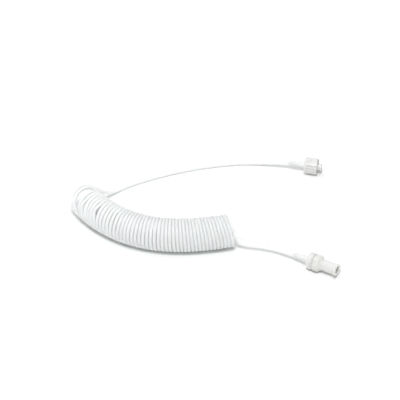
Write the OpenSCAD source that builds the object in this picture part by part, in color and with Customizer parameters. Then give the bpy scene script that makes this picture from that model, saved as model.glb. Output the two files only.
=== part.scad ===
// Coiled small-bore extension line with a Luer fitting at each end, lying on a table.
// The tube is one piece: a long tail, a springy coil and a short tail. The long tail ends in a
// male Luer lock with a rotating collar. The short tail ends in a female Luer lock with an
// inline one-way valve behind it. The origin is on the table, midway between the two fittings.

/* [Tube] */
// Outside diameter of the tube
tube_d = 2.1; // [1.9:0.05:2.3]
// Length of tube inside the male fitting and its sleeve
male_bond = 12.55; // [12:0.05:12.6]
// Length of tube inside the valve and its sleeve
female_bond = 10.6; // [10:0.1:10.6]

/* [Coil] */
// Outside diameter of the coil
coil_d = 19; // [17:0.5:21]
// Radius of the arc in which the right part of the coil lies
right_arc_r = 100; // [80:1:140]
// Angle of that arc
right_arc = 18; // [10:0.5:20]
// Radius of the arc in which the left part of the coil lies
left_arc_r = 58; // [50:1:80]
// Angle of that arc taken by closed turns
left_arc = 42.5; // [20:0.5:44]
// Angle of that arc at which the outermost opened turn stands
open_arc = 59; // [54:0.5:62]
// How far the outermost opened turn leans outwards
lean = 32; // [10:1:35]

/* [Male Luer lock] */
// Distance from the collar's centre to the end of the tip
tip_end = 5.85; // [5.75:0.05:6.1]
// Diameter of the end of the tip
tip_d = 3.97; // [3.93:0.01:3.99]
// Length of the tip's cone
tip_length = 7.5; // [7.5:0.05:7.6]
// Length of the collar
collar_length = 7.5; // [7.5:0.1:8]
// Diameter over the collar's ribs
collar_d = 9.3; // [9.2:0.1:10]
// Ribs round the collar
collar_ribs = 16; // [8:1:20]
// Root diameter of the collar's thread
thread_d = 8; // [7.9:0.05:8.1]
// Crest diameter of the collar's thread
crest_d = 7; // [7:0.05:7.2]
// Lead of the two-start thread
lead = 5; // [5:0.5:5.5]
// Diameter of the neck on which the collar turns
neck_d = 5; // [4.8:0.1:5.4]
// Radial clearance between the collar and the neck
running_gap = 0.05; // [0.03:0.01:0.08]

/* [Female Luer lock and valve] */
// Length of each half of the valve's drum
drum_half = 3.8; // [3.8:0.1:4.2]
// Diameter over the drum's ribs
drum_d = 9.8; // [9.6:0.1:10.4]
// Ribs round the front half of the drum
drum_ribs = 20; // [10:1:24]
// Distance from the drum's middle to the mouth of the barrel
mouth = 14.2; // [13.6:0.1:15]
// Outside diameter of the barrel
barrel_d = 6.2; // [6:0.05:6.5]
// Diameter of the rim at the mouth
rim_d = 6.7; // [6.6:0.05:6.73]
// Diameter over the two locking lugs
lug_d = 7.8; // [7.73:0.01:7.83]
// Diameter of the socket at the mouth
socket_d = 4.3; // [4.27:0.01:4.31]
// Depth of the socket
socket_depth = 9; // [7.5:0.1:9]
// Diameter of the valve's chamber
chamber_d = 7.4; // [7.2:0.1:7.6]
// Diameter of the silicone disc
disc_d = 6.4; // [6:0.1:6.6]
// Thickness of the silicone disc
disc_t = 0.7; // [0.5:0.05:0.8]

/* [Strain relief sleeves] */
// Length of each sleeve outside its fitting
sleeve_length = 9; // [9:0.5:10]
// Diameter of the male end's sleeve where it leaves the hub
male_sleeve_d = 3.2; // [3:0.1:3.6]
// Diameter of the valve end's sleeve where it leaves the drum
female_sleeve_d = 3.8; // [3.4:0.1:4]
// Diameter of both sleeves at their thin ends
sleeve_tip_d = 2.6; // [2.5:0.05:2.8]

/* [Hidden] */
$fn = 64;

// Where the two arcs of the coil meet, on the table
coil_at = [-76.9, -22.1, 0];
// Centres of the collar and of the valve's drum, and the ways that the fittings point
male_at = [-1, 44.5, collar_d / 2];
male_yaw = -12;
female_at = [-0.7, -39.5, drum_d / 2];
female_yaw = -29;

// Route of the long tail, from the opened turns to the male end's sleeve
long_route = [
    [-122.4, 16.4, 10.9], [-119.9, 17.9, 8], [-117.4, 20, 5.1], [-114.2, 23.5, 2.6], [-109.8, 27.6, 1.4],
    [-104, 31.6, 1.05], [-98.4, 34.6, 1.05], [-92.7, 37.3, 1.05], [-87, 39.8, 1.05],
    [-81.4, 42, 1.05], [-75.7, 44, 1.05], [-70, 45.7, 1.05], [-64.4, 47.2, 1.05],
    [-58.7, 48.5, 1.05], [-53, 49.6, 1.05], [-47.4, 50.4, 1.05], [-41.8, 51, 1.05],
    [-36, 51.1, 1.25], [-30.4, 50.6, 1.8], [-24.8, 49.5, 2.8], [-19, 48.2, 3.9],
    [-13.47, 47.15, 4.65]];
// Route of the short tail, from the coil's right end to the valve end's sleeve
short_route = [
    [-41.8, -26.2, 11.6], [-39, -26.6, 10.8], [-36, -26.8, 10], [-30.4, -27.1, 8.4],
    [-24.8, -28, 6.9], [-19, -29.9, 5.6], [-15.5, -31.5, 5.1], [-11.9, -33.29, 4.9]];
// No stretch of either tail runs along this direction, so it can set out the rings
ring_side = [0.5, -0.6, 0.6];
tube_sides = 8;
// Thickness of the slice that joins the opened turns to the closed ones
end_slice = 0.2;

tube_r = tube_d / 2;
turn_r = coil_d / 2 - tube_r;
// How far a cut runs past the solid that it cuts
past = 1;
// How much a Luer cone widens for each millimetre of its length
luer_taper = 0.06;
// Length of each sleeve's spigot inside its fitting
spigot = 1;

// The male fitting, with stations from the collar's centre towards the tip. The collar's inner
// web is held, with a little end play, between the hub's snap ring and its flange.
collar_back = -collar_length / 2;
collar_front = collar_back + collar_length;
collar_body_d = collar_d - 0.5;
web_t = 0.7;
web_back = collar_back + web_t;
web_front = web_back + web_t;
end_play = 0.1;
tip_base = tip_end - tip_length;
tip_base_d = tip_d + luer_taper * tip_length;
flange_t = 0.6;
flange_d = crest_d - 0.4;
neck_end = tip_base - flange_t;
snap_d = neck_d + 1;
lumen_d = 1.8;
male_spigot_d = male_sleeve_d - 0.4;
// The collar's thread: each ridge's start before the web, its share of a full turn, its widths
// at the root and the crest, and how deep it is sunk in the wall
thread_from = web_front + 0.9;
thread_turn = 0.85;
thread_steps = 20;
root_w = 1.2;
crest_w = 0.4;
sunk = 0.15;

// The female fitting, with stations from the middle of the drum towards the mouth
bevel = 0.4;
front_rib_h = 0.3;
rear_step = 0.15;
rear_bevel = 0.8;
shoulder_w = 0.9;
shoulder_h = 1.5;
rim_t = 1.2;
lug_arc = 80;
lug_from = 20;
skirt_d = chamber_d + 0.8;
skirt_back = -0.8;
chamber_front = 0.6;
chamber_back = -1.4;
seat_h = 0.4;
seat_d = 4.6;
seat_hole_d = 3.4;
inlet_hole_d = 2.2;
outlet_hole_d = 1.2;
stop_h = 0.55;
stop_w = 0.6;
female_spigot_d = female_sleeve_d - 0.8;

function unit(v) = v / norm(v);
function spline(p, i, t) =
    let (a = i > 0 ? p[i - 1] : 2 * p[0] - p[1], b = p[i], c = p[i + 1],
         d = i + 2 < len(p) ? p[i + 2] : 2 * c - b)
    0.5 * (2 * b + (c - a) * t + (2 * a - 5 * b + 4 * c - d) * t * t
           + (3 * b - a - 3 * c + d) * t * t * t);
// The route's points, with one more between each pair
function smooth(p) = [
    for (i = [0 : len(p) - 2]) for (t = [0, 0.5]) spline(p, i, t),
    p[len(p) - 1]];
function heading(q, i, last) =
    i == len(q) - 1 ? last : unit(q[i + 1] - q[max(i - 1, 0)]);
function ring(at, way) =
    let (u = unit(cross(way, ring_side)), v = cross(way, u))
    [for (k = [0 : tube_sides - 1])
        at + tube_r * (cos(360 * k / tube_sides) * u + sin(360 * k / tube_sides) * v)];
function yaw_way(yaw) = [cos(yaw), sin(yaw), 0];

// A tube swept along a route, whose last ring faces squarely the way it is told
module swept_tube(route, last) {
    q = smooth(route);
    n = tube_sides;
    top = (len(q) - 1) * n;
    polyhedron(
        points = [for (i = [0 : len(q) - 1]) each ring(q[i], heading(q, i, last))],
        faces = concat(
            [[for (k = [0 : n - 1]) k]],
            [[for (k = [n - 1 : -1 : 0]) top + k]],
            [for (i = [0 : len(q) - 2]) for (k = [0 : n - 1]) each [
                [i * n + k, (i + 1) * n + (k + 1) % n, i * n + (k + 1) % n],
                [i * n + k, (i + 1) * n + k, (i + 1) * n + (k + 1) % n]]]));
}

// The fittings are drawn along +Z, which points out of the mouth or the tip
module at_male() {
    translate(male_at) rotate([0, 90, male_yaw]) children();
}

module at_female() {
    translate(female_at) rotate([0, 90, female_yaw]) children();
}

module bore(d, from, to) {
    translate([0, 0, from]) cylinder(d = d, h = to - from);
}

module ribs(count, d, from, to, rib_r = 0.45) {
    for (k = [0 : count - 1])
        rotate(360 * k / count)
            translate([d / 2 - rib_r, 0, from])
                cylinder(r = rib_r, h = to - from, $fn = 24);
}

// A turned solid, from its outline as [radius, height] points
module turned(outline) {
    rotate_extrude() polygon(outline);
}

// Stands its children, drawn about the X axis, in the left arc, resting on the table
module in_left_arc(angle, tilt, rest) {
    translate(coil_at + [0, left_arc_r, 0])
        rotate([0, 0, -angle])
            translate([0, -left_arc_r, coil_d / 2 - rest])
                rotate([0, -tilt, 0])
                    translate([0, 0, rest])
                        rotate([0, 90, 0]) children();
}

module turn_ring() {
    rotate_extrude($fn = 40) translate([turn_r, 0]) circle(tube_r, $fn = 12);
}

module turn_hole(t) {
    cylinder(r = turn_r - tube_r, h = t, center = true, $fn = 40);
}

module closed_arc(radius, from, angle) {
    translate(coil_at + [0, radius, 0])
        rotate(from - 90)
            rotate_extrude(angle = angle)
                translate([radius, coil_d / 2])
                    difference() {
                        circle(d = coil_d);
                        circle(d = coil_d - 2 * tube_d);
                    }
}

module long_tail_tube() {
    color("whitesmoke") {
        swept_tube(long_route, yaw_way(male_yaw));
        at_male() bore(tube_d, collar_back - sleeve_length,
                       collar_back - sleeve_length + male_bond);
    }
}

// The outer shape of the turns that have sprung open and lean outwards
module opened_turns() {
    color("white")
        difference() {
            hull() {
                in_left_arc(open_arc, lean, turn_r) turn_ring();
                in_left_arc((open_arc + left_arc) / 2, lean / 2, turn_r) turn_ring();
                in_left_arc(left_arc, 0, 0)
                    translate([0, 0, -end_slice]) cylinder(d = coil_d, h = end_slice);
            }
            hull() {
                in_left_arc(open_arc, lean, turn_r) turn_hole(3 * tube_d);
                in_left_arc(left_arc, 0, 0) turn_hole(1);
            }
        }
}

// The outer shape of the turns that lie closed against each other
module closed_coil() {
    color("white") {
        closed_arc(left_arc_r, -left_arc, left_arc);
        closed_arc(right_arc_r, 0, right_arc);
    }
}

module short_tail_tube() {
    color("whitesmoke") {
        swept_tube(short_route, yaw_way(female_yaw));
        at_female() bore(tube_d, -drum_half - sleeve_length,
                         female_bond - drum_half - sleeve_length);
    }
}

// Male Luer tip, with the flange and the snap ring that hold the collar
module male_hub() {
    color("ivory")
        at_male() difference() {
            union() {
                translate([0, 0, tip_base])
                    cylinder(d1 = tip_base_d, d2 = tip_d, h = tip_length);
                bore(flange_d, neck_end, tip_base);
                bore(neck_d, web_back - end_play, neck_end);
                bore(snap_d, collar_back, web_back - end_play);
            }
            bore(lumen_d, collar_back, tip_end + past);
            bore(tube_d, collar_back - past, collar_back + male_bond - sleeve_length);
            bore(male_spigot_d, collar_back - past, collar_back + spigot);
        }
}

// One of the two ridges of the collar's thread
module thread_ridge(start) {
    rise = lead * thread_turn / thread_steps;
    root_r = thread_d / 2 + sunk;
    crest_r = crest_d / 2;
    section = [[root_r, -root_w / 2], [crest_r, -crest_w / 2],
               [crest_r, crest_w / 2], [root_r, root_w / 2]];
    points = [for (i = [0 : thread_steps]) for (p = section)
        let (a = start + 360 * thread_turn * i / thread_steps)
        [p[0] * cos(a), p[0] * sin(a), thread_from + rise * i + p[1]]];
    last = thread_steps * 4;
    polyhedron(points, concat(
        [[0, 1, 2, 3]], [[last + 3, last + 2, last + 1, last]],
        [for (i = [0 : thread_steps - 1]) for (k = [0 : 3]) each [
            [4 * i + k, 4 * i + 4 + k, 4 * i + 4 + (k + 1) % 4],
            [4 * i + k, 4 * i + 4 + (k + 1) % 4, 4 * i + (k + 1) % 4]]]));
}

// Rotating collar of the male Luer lock
module lock_collar() {
    body_r = collar_body_d / 2;
    back_bevel = 0.5;
    front_bevel = 0.2;
    color("ivory")
        at_male() {
            difference() {
                union() {
                    turned([[0, collar_back], [body_r - back_bevel, collar_back],
                            [body_r, collar_back + back_bevel],
                            [body_r, collar_front - front_bevel],
                            [body_r - front_bevel, collar_front], [0, collar_front]]);
                    ribs(collar_ribs, collar_d, collar_back + 0.7, collar_front - 0.5);
                }
                bore(snap_d + 0.4, collar_back - past, web_back);
                bore(neck_d + 2 * running_gap, collar_back, collar_front);
                bore(thread_d, web_front, collar_front + past);
            }
            for (start = [0, 180]) thread_ridge(start);
        }
}

module male_sleeve() {
    color("white")
        at_male() difference() {
            union() {
                translate([0, 0, collar_back - sleeve_length])
                    cylinder(d1 = sleeve_tip_d, d2 = male_sleeve_d, h = sleeve_length);
                bore(male_spigot_d, collar_back - 0.1, collar_back + spigot);
            }
            bore(tube_d, collar_back - sleeve_length - past, collar_back + spigot + past);
        }
}

// Front half of the valve's drum, with the female Luer barrel and the valve's seat
module valve_inlet() {
    body_r = drum_d / 2 - front_rib_h;
    barrel_r = barrel_d / 2;
    rim_back = mouth - rim_t;
    lug_root = rim_d / 2 - 0.3;
    color("ivory")
        at_female() {
            difference() {
                union() {
                    turned([[0, 0], [body_r, 0], [body_r, drum_half - bevel],
                            [body_r - bevel, drum_half], [barrel_r + shoulder_w, drum_half],
                            [barrel_r, drum_half + shoulder_h], [barrel_r, rim_back - bevel],
                            [rim_d / 2, rim_back], [rim_d / 2, mouth], [0, mouth]]);
                    ribs(drum_ribs, drum_d, bevel, drum_half - 0.7);
                    for (side = [lug_from, lug_from + 180])
                        rotate(side)
                            rotate_extrude(angle = lug_arc)
                                translate([lug_root, rim_back])
                                    square([lug_d / 2 - lug_root, rim_t]);
                    bore(skirt_d, skirt_back, 0.1);
                }
                translate([0, 0, mouth - socket_depth])
                    cylinder(d1 = socket_d - luer_taper * socket_depth, d2 = socket_d,
                             h = socket_depth);
                bore(inlet_hole_d, skirt_back - past, mouth);
                bore(chamber_d, skirt_back - past, chamber_front);
            }
            difference() {
                bore(seat_d, chamber_front - seat_h, chamber_front);
                bore(seat_hole_d, chamber_front - seat_h - past, chamber_front + past);
            }
        }
}

// Rear half of the valve's drum, with the stops behind the disc and the tube's socket
module valve_outlet() {
    body_r = drum_d / 2 - rear_step;
    color("ivory")
        at_female() {
            difference() {
                turned([[0, -drum_half], [body_r - rear_bevel, -drum_half],
                        [body_r, rear_bevel - drum_half], [body_r, 0], [0, 0]]);
                bore(skirt_d, skirt_back, past);
                bore(chamber_d, chamber_back, past);
                bore(outlet_hole_d, -drum_half, past);
                bore(tube_d, -drum_half - past, female_bond - drum_half - sleeve_length);
                bore(female_spigot_d, -drum_half - past, spigot - drum_half);
            }
            for (k = [0 : 3])
                rotate(90 * k)
                    translate([outlet_hole_d, -stop_w / 2, chamber_back])
                        cube([chamber_d / 2 - outlet_hole_d + 0.1, stop_w, stop_h]);
        }
}

module valve_disc() {
    color("lightgray")
        at_female() bore(disc_d, chamber_front - seat_h - disc_t, chamber_front - seat_h);
}

module female_sleeve() {
    color("white")
        at_female() difference() {
            union() {
                translate([0, 0, -drum_half - sleeve_length])
                    cylinder(d1 = sleeve_tip_d, d2 = female_sleeve_d, h = sleeve_length);
                bore(female_spigot_d, -drum_half - 0.1, spigot - drum_half);
            }
            bore(tube_d, -drum_half - sleeve_length - past, spigot - drum_half + past);
        }
}

long_tail_tube();
opened_turns();
closed_coil();
short_tail_tube();
male_hub();
lock_collar();
male_sleeve();
valve_inlet();
valve_outlet();
valve_disc();
female_sleeve();
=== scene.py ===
"""Looks for a coiled small-bore extension line with Luer fittings, lying on a table.

The tube is one swept mesh: a long tail, a springy coil and a short tail. It stands for the
frame's four tube solids. The fittings keep their own solids and get their materials here.
Everything is in metres, in the frame's axes: +X out of the fittings' mouths, +Z up.
"""

import math

import bpy
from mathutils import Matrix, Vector, noise


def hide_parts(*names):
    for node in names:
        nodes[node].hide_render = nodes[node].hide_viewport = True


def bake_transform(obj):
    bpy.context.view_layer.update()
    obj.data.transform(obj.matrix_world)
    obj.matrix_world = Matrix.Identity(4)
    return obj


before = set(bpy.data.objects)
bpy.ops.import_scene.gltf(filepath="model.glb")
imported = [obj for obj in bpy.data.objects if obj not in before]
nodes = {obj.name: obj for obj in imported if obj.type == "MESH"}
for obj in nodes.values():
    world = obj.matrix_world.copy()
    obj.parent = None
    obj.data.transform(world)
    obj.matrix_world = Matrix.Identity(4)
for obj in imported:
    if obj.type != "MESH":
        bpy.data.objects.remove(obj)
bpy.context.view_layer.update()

MM = 0.001

# ---------------------------------------------------------------- sizes, as in the CAD source
TUBE_D = 2.1 * MM
TUBE_R = TUBE_D / 2
TURN_R = (19 * MM - TUBE_D) / 2
COIL_AT = Vector((-76.9, -22.1, 0)) * MM
LEFT_R = 58 * MM
RIGHT_R = 100 * MM
LEFT_LENGTH = 62.8 * MM
# Where the tube lies in each fitting: a centre, the way the fitting points, and the stations
# along it of the sleeve's thin end and of the tube's own bonded end
MALE_AT = Vector((-1, 44.5, 4.65)) * MM
MALE_YAW = -12
MALE_THIN_END = -12.75 * MM
MALE_BONDED_END = -0.2 * MM
FEMALE_AT = Vector((-0.7, -39.5, 4.9)) * MM
FEMALE_YAW = -29
FEMALE_THIN_END = -12.8 * MM
FEMALE_BONDED_END = -2.2 * MM

# The tails' routes over the table, in millimetres, as in the CAD source
LONG_ROUTE = [
    (-122.4, 16.4, 10.9), (-119.9, 17.9, 8), (-117.4, 20, 5.1), (-114.2, 23.5, 2.6),
    (-109.8, 27.6, 1.4), (-104, 31.6, 1.05), (-98.4, 34.6, 1.05), (-92.7, 37.3, 1.05),
    (-87, 39.8, 1.05), (-81.4, 42, 1.05), (-75.7, 44, 1.05), (-70, 45.7, 1.05),
    (-64.4, 47.2, 1.05), (-58.7, 48.5, 1.05), (-53, 49.6, 1.05), (-47.4, 50.4, 1.05),
    (-41.8, 51, 1.05), (-36, 51.1, 1.25), (-30.4, 50.6, 1.8), (-24.8, 49.5, 2.8),
    (-19, 48.2, 3.9), (-13.47, 47.15, 4.65),
]
SHORT_ROUTE = [
    (-41.8, -26.2, 11.6), (-39, -26.6, 10.8), (-36, -26.8, 10), (-30.4, -27.1, 8.4),
    (-24.8, -28, 6.9), (-19, -29.9, 5.6), (-15.5, -31.5, 5.1), (-11.9, -33.29, 4.9),
]

# How the turns stand along the coil: turn number, distance along the coil's arc from its
# left end in millimetres, and lean to the left in degrees. The first turns have sprung open.
TURNS = [
    (0, 2.8, 33), (0.4, 3.6, 33), (1.1, 5.3, 30), (1.45, 6, 29), (2.1, 9.2, 21.5),
    (3, 10.9, 18), (4, 12.7, 15.5), (8, 20.1, 8), (14, 31.4, 0), (26, 54.6, 0), (46.32, 94, 7),
]
START_ANGLE = 39
# Short slits where neighbouring turns have sprung apart: the turn that bulges to the left of
# the slit, the slit's place round the coil and half its length in degrees, and how far that
# turn bulges in millimetres. Each further turn gives way by less.
SLITS = [(3, 150, 38, 1.2), (7, 133, 34, 0.9)]
GIVING_WAY = 0.45
# How far the turns wander from an even helix, along the coil and in radius
STATION_WANDER = 0.1 * MM
RADIUS_WANDER = 0.07 * MM
POINTS_PER_TURN = 36
RING_SIDES = 20
LONGEST_STEP = 1.1 * MM


# ---------------------------------------------------------------- the tube's centreline
def yaw_way(degrees):
    angle = math.radians(degrees)
    return Vector((math.cos(angle), math.sin(angle), 0))


def millimetres(points):
    return [Vector(p) * MM for p in points]


def turn_key(turn):
    """The station along the arc and the lean of the turn, between the keys of TURNS."""
    for (k0, s0, lean0), (k1, s1, lean1) in zip(TURNS, TURNS[1:]):
        if turn <= k1:
            t = (turn - k0) / (k1 - k0)
            return (s0 + (s1 - s0) * t) * MM, math.radians(lean0 + (lean1 - lean0) * t)
    return TURNS[-1][1] * MM, math.radians(TURNS[-1][2])


def slit_shift(turn):
    """How far the slits push this place of the turn to the left."""
    shift = 0
    for last_left, place, reach, width in SLITS:
        turns_past = turn - (place - START_ANGLE) / 360
        nearest = round(turns_past)
        away = abs(turns_past - nearest) * 360
        share = 1 - GIVING_WAY * (last_left - nearest)
        if nearest <= last_left and away < reach and share > 0:
            shift += share * width * MM * math.cos(math.pi / 2 * away / reach) ** 2
    return shift


def coil_point(turn):
    """A point of the helix. It rests on the table, in the coil's two arcs."""
    station, lean = turn_key(turn)
    station += STATION_WANDER * noise.noise(Vector((turn * 0.9, 3.1, 0)))
    station -= slit_shift(turn)
    radius = TURN_R + RADIUS_WANDER * noise.noise(Vector((turn * 0.6, 8.7, 0)))
    along = station - LEFT_LENGTH
    arc_r = LEFT_R if along < 0 else RIGHT_R
    bow = along / arc_r
    way = Vector((math.cos(bow), math.sin(bow), 0))
    foot = COIL_AT + arc_r * Vector((math.sin(bow), 1 - math.cos(bow), 0))
    up = Vector((0, 0, math.cos(lean))) - way * math.sin(lean)
    back = Vector((-way.y, way.x, 0))
    angle = math.radians(START_ANGLE + 360 * turn)
    return (foot + Vector((0, 0, TUBE_R)) + radius * up
            + radius * (math.cos(angle) * back + math.sin(angle) * up))


def spline(a, b, c, d, t):
    """Centripetal Catmull-Rom from b to c, which doesn't overshoot between uneven points."""
    t0 = 0
    t1 = t0 + (b - a).length ** 0.5
    t2 = t1 + (c - b).length ** 0.5
    t3 = t2 + (d - c).length ** 0.5
    x = t1 + (t2 - t1) * t
    ab = (a * (t1 - x) + b * (x - t0)) / (t1 - t0)
    bc = (b * (t2 - x) + c * (x - t1)) / (t2 - t1)
    cd = (c * (t3 - x) + d * (x - t2)) / (t3 - t2)
    abc = (ab * (t2 - x) + bc * (x - t0)) / (t2 - t0)
    bcd = (bc * (t3 - x) + cd * (x - t1)) / (t3 - t1)
    return (abc * (t2 - x) + bcd * (x - t1)) / (t2 - t1)


def tube_line():
    """The centreline from the male fitting to the valve, and each point's share of the coil."""
    male = yaw_way(MALE_YAW)
    female = yaw_way(FEMALE_YAW)
    keys = [(MALE_AT + male * MALE_BONDED_END, 0)]
    keys += [(MALE_AT + male * (MALE_THIN_END * f), 0) for f in (0.35, 0.7, 0.9)]
    keys += [(p, 0) for p in reversed(millimetres(LONG_ROUTE))]
    last = TURNS[-1][0]
    steps = round(last * POINTS_PER_TURN)
    keys += [(coil_point(last * i / steps), i / steps) for i in range(steps + 1)]
    keys += [(p, 1) for p in millimetres(SHORT_ROUTE)]
    keys += [(FEMALE_AT + female * (FEMALE_THIN_END * f), 1) for f in (0.9, 0.6)]
    keys += [(FEMALE_AT + female * FEMALE_BONDED_END, 1)]
    line, shares = [], []
    for i in range(len(keys) - 1):
        (b, share_b), (c, share_c) = keys[i], keys[i + 1]
        a = keys[i - 1][0] if i else 2 * b - c
        d = keys[i + 2][0] if i + 2 < len(keys) else 2 * c - b
        parts = max(1, math.ceil((c - b).length / LONGEST_STEP)) if share_b in (0, 1) else 1
        for j in range(parts):
            line.append(spline(a, b, c, d, j / parts))
            shares.append(share_b + (share_c - share_b) * j / parts)
    return line + [keys[-1][0]], shares + [1]


def headings(line):
    ways = [(q - p).normalized() for p, q in zip(line, line[2:])]
    return [(line[1] - line[0]).normalized()] + ways + [(line[-1] - line[-2]).normalized()]


def sweep(name, line, radius, sides):
    """A round closed tube along the line, whose rings turn as little as they can."""
    ways = headings(line)
    side = ways[0].orthogonal().normalized()
    verts, faces = [], []
    for point, way in zip(line, ways):
        side = (side - way * side.dot(way)).normalized()
        other = way.cross(side)
        for k in range(sides):
            angle = math.tau * k / sides
            verts.append(point + radius * (math.cos(angle) * side + math.sin(angle) * other))
    for i in range(len(line) - 1):
        for k in range(sides):
            n = (k + 1) % sides
            faces.append((i * sides + k, i * sides + n, (i + 1) * sides + n,
                          (i + 1) * sides + k))
    faces.append(tuple(reversed(range(sides))))
    faces.append(tuple(range(len(verts) - sides, len(verts))))
    mesh = bpy.data.meshes.new(name)
    mesh.from_pydata(verts, [], faces)
    mesh.polygons.foreach_set("use_smooth", [True] * len(mesh.polygons))
    mesh.update()
    piece = bpy.data.objects.new(name, mesh)
    bpy.context.scene.collection.objects.link(piece)
    return piece


# ---------------------------------------------------------------- camera
AIM = Vector((-64.4, 19.8, 0)) * MM
PICTURE_WIDTH = 226.4 * MM
ELEVATION = math.radians(40)
LENS = 400
SENSOR = 36


def make_camera():
    """A long lens that looks along +Y, down on the table."""
    data = bpy.data.cameras.new("camera")
    data.lens = LENS
    data.sensor_width = SENSOR
    data.clip_start = 0.05
    data.clip_end = 20
    camera = bpy.data.objects.new("camera", data)
    back = Vector((0, -math.cos(ELEVATION), math.sin(ELEVATION)))
    camera.location = AIM + back * (PICTURE_WIDTH * LENS / SENSOR)
    camera.rotation_euler = (-back).to_track_quat("-Z", "Y").to_euler()
    bpy.context.scene.collection.objects.link(camera)
    bpy.context.scene.camera = camera


make_camera()

# ---------------------------------------------------------------- the tube
line, shares = tube_line()
tube = sweep("tube", line, TUBE_R, RING_SIDES)
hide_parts("long_tail_tube", "opened_turns", "closed_coil", "short_tail_tube")
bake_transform(tube)


# ---------------------------------------------------------------- materials
GRAIN_DETAIL = 3
# The stretch of the noise over which a colour runs from its low to its high value
RAMP_ENDS = (0.3, 0.7)
# Subsurface radii: the same for every colour, or a little less for blue, which warms it
EVEN = (1, 1, 1)
WARM = (1, 1, 0.95)


class Nodes:
    """Short calls for building a node material around one Principled shader."""

    def __init__(self, name, **sockets):
        self.material = bpy.data.materials.new(name)
        self.material.use_nodes = True
        self.tree = self.material.node_tree
        self.shader = self.tree.nodes["Principled BSDF"]
        for socket, value in sockets.items():
            self.shader.inputs[socket.replace("_", " ")].default_value = value

    def add(self, kind, **values):
        node = self.tree.nodes.new(kind)
        for key, value in values.items():
            if key in node.bl_rna.properties:
                setattr(node, key, value)
            else:
                node.inputs[key.replace("_", " ")].default_value = value
        return node

    def link(self, source, output, target, socket):
        self.tree.links.new(source.outputs[output], target.inputs[socket])

    def noise(self, scale):
        """Noise in the piece's own metres, so its grain has a real size."""
        place = self.add("ShaderNodeTexCoord")
        grain = self.add("ShaderNodeTexNoise", Scale=scale, Detail=GRAIN_DETAIL)
        self.link(place, "Object", grain, "Vector")
        return grain

    def colors(self, scale, low, high):
        """Base colour that wanders between two values."""
        blend = self.add("ShaderNodeValToRGB")
        for element, place, color in zip(blend.color_ramp.elements, RAMP_ENDS, (low, high)):
            element.position = place
            element.color = color
        self.link(self.noise(scale), "Fac", blend, "Fac")
        self.link(blend, "Color", self.shader, "Base Color")

    def sheen(self, scale, low, high):
        """Roughness that wanders between two values."""
        spread = self.add("ShaderNodeMapRange", To_Min=low, To_Max=high)
        self.link(self.noise(scale), "Fac", spread, "Value")
        self.link(spread, "Result", self.shader, "Roughness")

    def relief(self, scale, height):
        """A fine bump, of a height in metres."""
        bump = self.add("ShaderNodeBump", Strength=1.0, Distance=height)
        self.link(self.noise(scale), "Fac", bump, "Height")
        self.link(bump, "Normal", self.shader, "Normal")


def grey(value, tint=(0, 0, 0)):
    return (value + tint[0], value + tint[1], value + tint[2], 1)


def tube_material():
    m = Nodes("soft_tube", Coat_Weight=0.05, Coat_Roughness=0.3, Subsurface_Weight=1.0,
              Subsurface_Scale=0.003, IOR=1.45)
    m.shader.inputs["Subsurface Radius"].default_value = WARM
    m.colors(260, grey(0.895, (0, 0.038, 0.018)), grey(0.925, (0, 0.034, 0.016)))
    m.sheen(900, 0.4, 0.5)
    m.relief(2600, 0.00001)
    return m.material


def fitting_material():
    m = Nodes("moulded_fitting", Subsurface_Weight=0.7, Subsurface_Scale=0.002, IOR=1.49)
    m.shader.inputs["Subsurface Radius"].default_value = WARM
    m.colors(420, grey(0.75, (0.012, 0.010, -0.014)), grey(0.79, (0.01, 0.008, -0.010)))
    m.sheen(1500, 0.26, 0.4)
    m.relief(5200, 0.000006)
    return m.material


def sleeve_material():
    m = Nodes("soft_sleeve", Subsurface_Weight=0.4, Subsurface_Scale=0.001, IOR=1.48)
    m.shader.inputs["Subsurface Radius"].default_value = EVEN
    m.colors(350, grey(0.82), grey(0.86))
    m.sheen(1200, 0.38, 0.5)
    m.relief(4200, 0.000008)
    return m.material


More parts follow.
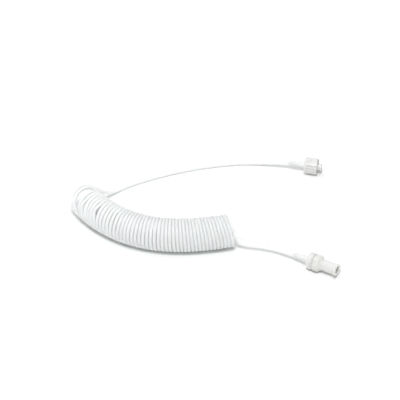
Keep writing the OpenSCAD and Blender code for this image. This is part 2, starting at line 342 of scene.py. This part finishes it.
def silicone_material():
    m = Nodes("silicone", Subsurface_Weight=0.5, Subsurface_Scale=0.001, IOR=1.41)
    m.shader.inputs["Subsurface Radius"].default_value = EVEN
    m.colors(500, grey(0.66), grey(0.74))
    m.sheen(1800, 0.3, 0.45)
    m.relief(3600, 0.000008)
    return m.material


def dress(names, material):
    for name in names:
        slots = nodes[name].data.materials
        slots.clear()
        slots.append(material)


tube.data.materials.append(tube_material())
dress(["male_hub", "lock_collar", "valve_inlet", "valve_outlet"], fitting_material())
dress(["male_sleeve", "female_sleeve"], sleeve_material())
dress(["valve_disc"], silicone_material())


# ---------------------------------------------------------------- floor and light
def make_floor():
    half = 3
    mesh = bpy.data.meshes.new("floor")
    mesh.from_pydata([(-half, -half, 0), (half, -half, 0), (half, half, 0), (-half, half, 0)],
                     [], [(0, 1, 2, 3)])
    floor = bpy.data.objects.new("floor", mesh)
    bpy.context.scene.collection.objects.link(floor)
    m = Nodes("floor", Specular_IOR_Level=0.1)
    m.colors(3, grey(0.94), grey(0.95))
    m.sheen(40, 0.8, 0.9)
    mesh.materials.append(m.material)


def area_light(name, at, aim, size, power):
    """A round lamp of a size across in metres and a power in watts, facing its aim."""
    data = bpy.data.lights.new(name, "AREA")
    data.shape = "DISK"
    data.size = size
    data.energy = power
    lamp = bpy.data.objects.new(name, data)
    lamp.location = at
    lamp.rotation_euler = (Vector(aim) - Vector(at)).to_track_quat("-Z", "Y").to_euler()
    bpy.context.scene.collection.objects.link(lamp)


def make_light():
    """A bright tent, a wide panel overhead and a smaller lamp high in front."""
    world = bpy.data.worlds.new("studio")
    world.use_nodes = True
    sky = world.node_tree.nodes["Background"]
    sky.inputs["Color"].default_value = (0.98, 0.995, 1, 1)
    sky.inputs["Strength"].default_value = 0.425
    bpy.context.scene.world = world
    middle = Vector((-60, 0, 0)) * MM
    area_light("overhead", middle + Vector((-0.1, 0.25, 1)), middle, size=1.2, power=3.5)
    key_distance = 3
    key_way = math.radians(-100)
    key_rise = math.radians(66)
    key = Vector((math.cos(key_way) * math.cos(key_rise), math.sin(key_way) * math.cos(key_rise),
                  math.sin(key_rise)))
    area_light("key", middle + key_distance * key, middle, size=0.6, power=46)


make_floor()
make_light()
bpy.context.scene.view_settings.view_transform = "Standard"
